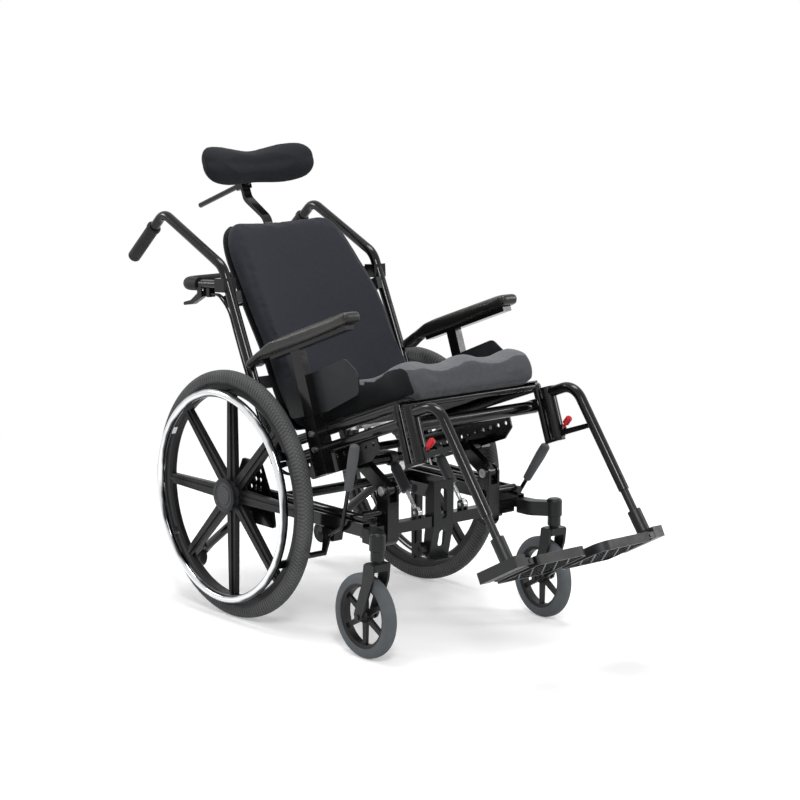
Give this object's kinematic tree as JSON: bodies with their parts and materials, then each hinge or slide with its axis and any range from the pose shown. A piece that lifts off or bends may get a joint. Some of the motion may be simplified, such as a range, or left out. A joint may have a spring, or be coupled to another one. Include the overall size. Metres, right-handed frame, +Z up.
{
  "type": "tilt in space wheelchair",
  "caption": "Manual wheelchair whose padded seat and back tilt together on a wheeled base, with swing-away footrests, arms and headrest.",
  "frame": {"origin": "on the floor under the middle of the chair's overall box", "axes": "+Z up, the occupant faces -Y, +X to the occupant's left"},
  "size_m": [0.692, 1.4855, 1.1308],
  "materials": {
    "black_frame": "gloss powder coat",
    "steel": "zinc plated",
    "tyre_grey": "matt grey",
    "wheel_black": "satin moulded",
    "chrome_rim": "polished",
    "grip_rubber": "matt",
    "dark_fabric": "stretch cover",
    "grey_fabric": "stretch cover",
    "shell_plastic": "grained",
    "cable_black": "sheathed",
    "red_knob": "gloss",
    "strut_grey": "satin"
  },
  "bodies": {
    "base": {"base_rails": "black_frame", "base_crossbars": "black_frame", "front_posts": "black_frame", "axle_plates": "black_frame", "rear_axles": "steel", "caster_housings": "black_frame", "centre_channel": "black_frame", "wheel_lock_clamps": "black_frame", "base_bolts": "steel", "anti_tip_tubes": "black_frame"},
    "seat": {"seat_rails": "black_frame", "seat_cross_tubes": "black_frame", "seat_pan": "black_frame", "seat_cushion": "grey_fabric", "pivot_brackets": "black_frame", "back_canes": "black_frame", "grips": "grip_rubber", "push_bar": "black_frame", "back_shell": "shell_plastic", "back_cushion": "dark_fabric", "arm_sockets": "black_frame", "tilt_cables": "cable_black", "seat_bolts": "steel"},
    "trigger": {"tilt_trigger": "shell_plastic"},
    "headrest_mast": {"headrest_bar": "black_frame"},
    "headrest": {"headrest_pad": "dark_fabric"},
    "strut_cylinders": {"lock_cylinders": "strut_grey"},
    "strut_rods": {"lock_rods": "steel"},
    "rear_wheel_right": {"rear_tyre_right": "tyre_grey", "mag_wheel_right": "wheel_black", "handrim_right": "chrome_rim"},
    "caster_right": {"caster_fork_right": "black_frame"},
    "caster_roll_right": {"caster_tyre_right": "tyre_grey", "caster_wheel_right": "wheel_black"},
    "wheel_lock_right": {"wheel_lock_lever_right": "steel", "wheel_lock_grip_right": "grip_rubber"},
    "tip_wheel_right": {"anti_tip_wheel_right": "tyre_grey"},
    "arm_right": {"armrest_post_right": "black_frame", "arm_pad_right": "grip_rubber", "side_panel_right": "shell_plastic"},
    "legrest_right": {"hanger_right": "black_frame", "footrest_extension_right": "steel"},
    "foot_right": {"footplate_right": "shell_plastic"},
    "latch_right": {"latch_lever_right": "red_knob"},
    "rear_wheel_left": {"rear_tyre_left": "tyre_grey", "mag_wheel_left": "wheel_black", "handrim_left": "chrome_rim"},
    "caster_left": {"caster_fork_left": "black_frame"},
    "caster_roll_left": {"caster_tyre_left": "tyre_grey", "caster_wheel_left": "wheel_black"},
    "wheel_lock_left": {"wheel_lock_lever_left": "steel", "wheel_lock_grip_left": "grip_rubber"},
    "tip_wheel_left": {"anti_tip_wheel_left": "tyre_grey"},
    "arm_left": {"armrest_post_left": "black_frame", "arm_pad_left": "grip_rubber", "side_panel_left": "shell_plastic"},
    "legrest_left": {"hanger_left": "black_frame", "footrest_extension_left": "steel"},
    "foot_left": {"footplate_left": "shell_plastic"},
    "latch_left": {"latch_lever_left": "red_knob"}
  },
  "joints": [
    {"name": "seat_tilt", "type": "hinge", "parent": "base", "child": "seat", "pos_m": [0, -0.2197, 0.367], "axis": [-1, 0, 0], "range_deg": [-20, 10]},
    {"name": "rear_wheel_right_spin", "type": "hinge", "parent": "base", "child": "rear_wheel_right", "pos_m": [-0.297, 0.2023, 0.305], "axis": [1, 0, 0], "continuous": true},
    {"name": "caster_right_swivel", "type": "hinge", "parent": "base", "child": "caster_right", "pos_m": [-0.28, -0.3247, 0.25], "axis": [0, 0, 1], "continuous": true},
    {"name": "caster_right_spin", "type": "hinge", "parent": "caster_right", "child": "caster_roll_right", "pos_m": [-0.28, -0.2837, 0.1], "axis": [1, 0, 0], "continuous": true},
    {"name": "wheel_lock_right", "type": "hinge", "parent": "base", "child": "wheel_lock_right", "pos_m": [-0.266, -0.1257, 0.258], "axis": [1, 0, 0], "range_deg": [0, 22]},
    {"name": "tip_wheel_right_spin", "type": "hinge", "parent": "base", "child": "tip_wheel_right", "pos_m": [-0.205, 0.4823, 0.082], "axis": [1, 0, 0], "continuous": true},
    {"name": "arm_right_height", "type": "slide", "parent": "seat", "child": "arm_right", "axis": [0, 0.342, 0.9397], "range_m": [0, 0.08]},
    {"name": "legrest_right_swing", "type": "hinge", "parent": "seat", "child": "legrest_right", "pos_m": [-0.214, -0.40156, 0.47257], "axis": [0, -0.342, -0.9397], "range_deg": [0, 90]},
    {"name": "foot_right_flip", "type": "hinge", "parent": "legrest_right", "child": "foot_right", "pos_m": [-0.188, -0.66997, 0.27016], "axis": [0, -0.8829, 0.4695], "range_deg": [0, 90]},
    {"name": "latch_right", "type": "hinge", "parent": "legrest_right", "child": "latch_right", "pos_m": [-0.214, -0.41659, 0.50145], "axis": [1, 0, 0], "range_deg": [-15, 0], "stiffness_Nm_per_rad": 0.3, "springref_deg": 2.86},
    {"name": "rear_wheel_left_spin", "type": "hinge", "parent": "base", "child": "rear_wheel_left", "pos_m": [0.297, 0.2023, 0.305], "axis": [1, 0, 0], "continuous": true},
    {"name": "caster_left_swivel", "type": "hinge", "parent": "base", "child": "caster_left", "pos_m": [0.28, -0.3247, 0.25], "axis": [0, 0, 1], "continuous": true},
    {"name": "caster_left_spin", "type": "hinge", "parent": "caster_left", "child": "caster_roll_left", "pos_m": [0.28357, -0.28386, 0.1], "axis": [0.9962, -0.0872, 0], "continuous": true},
    {"name": "wheel_lock_left", "type": "hinge", "parent": "base", "child": "wheel_lock_left", "pos_m": [0.266, -0.1257, 0.258], "axis": [1, 0, 0], "range_deg": [-22, 0]},
    {"name": "tip_wheel_left_spin", "type": "hinge", "parent": "base", "child": "tip_wheel_left", "pos_m": [0.205, 0.4823, 0.082], "axis": [1, 0, 0], "continuous": true},
    {"name": "arm_left_height", "type": "slide", "parent": "seat", "child": "arm_left", "axis": [0, 0.342, 0.9397], "range_m": [0, 0.08]},
    {"name": "legrest_left_swing", "type": "hinge", "parent": "seat", "child": "legrest_left", "pos_m": [0.214, -0.40156, 0.47257], "axis": [0, 0.342, 0.9397], "range_deg": [0, 90]},
    {"name": "foot_left_flip", "type": "hinge", "parent": "legrest_left", "child": "foot_left", "pos_m": [0.188, -0.66997, 0.27016], "axis": [0, 0.8829, -0.4695], "range_deg": [0, 90]},
    {"name": "latch_left", "type": "hinge", "parent": "legrest_left", "child": "latch_left", "pos_m": [0.214, -0.41659, 0.50145], "axis": [1, 0, 0], "range_deg": [-15, 0], "stiffness_Nm_per_rad": 0.3, "springref_deg": 2.86},
    {"name": "tilt_trigger", "type": "hinge", "parent": "seat", "child": "trigger", "pos_m": [-0.24, 0.39933, 0.7728], "axis": [1, 0, 0], "range_deg": [0, 12], "stiffness_Nm_per_rad": 0.6, "springref_deg": -8.59},
    {"name": "headrest_height", "type": "slide", "parent": "seat", "child": "headrest_mast", "axis": [0, 0.342, 0.9397], "range_m": [0, 0.07]},
    {"name": "headrest_nod", "type": "hinge", "parent": "headrest_mast", "child": "headrest", "pos_m": [0, 0.53455, 1.03001], "axis": [1, 0, 0], "range_deg": [-15, 15]},
    {"name": "strut_swing", "type": "hinge", "parent": "seat", "child": "strut_cylinders", "pos_m": [0, -0.12784, 0.41764], "axis": [1, 0, 0], "range_deg": [-7.5, 4]},
    {"name": "strut_slide", "type": "slide", "parent": "strut_cylinders", "child": "strut_rods", "axis": [0, -0.6342, -0.7731], "range_m": [-0.0065, 0.013]}
  ],
  "couplings": [
    {"joint": "strut_swing", "follows": "seat_tilt", "ratio": 0.355},
    {"joint": "strut_slide", "follows": "seat_tilt", "m_per_rad": -0.0355}
  ]
}
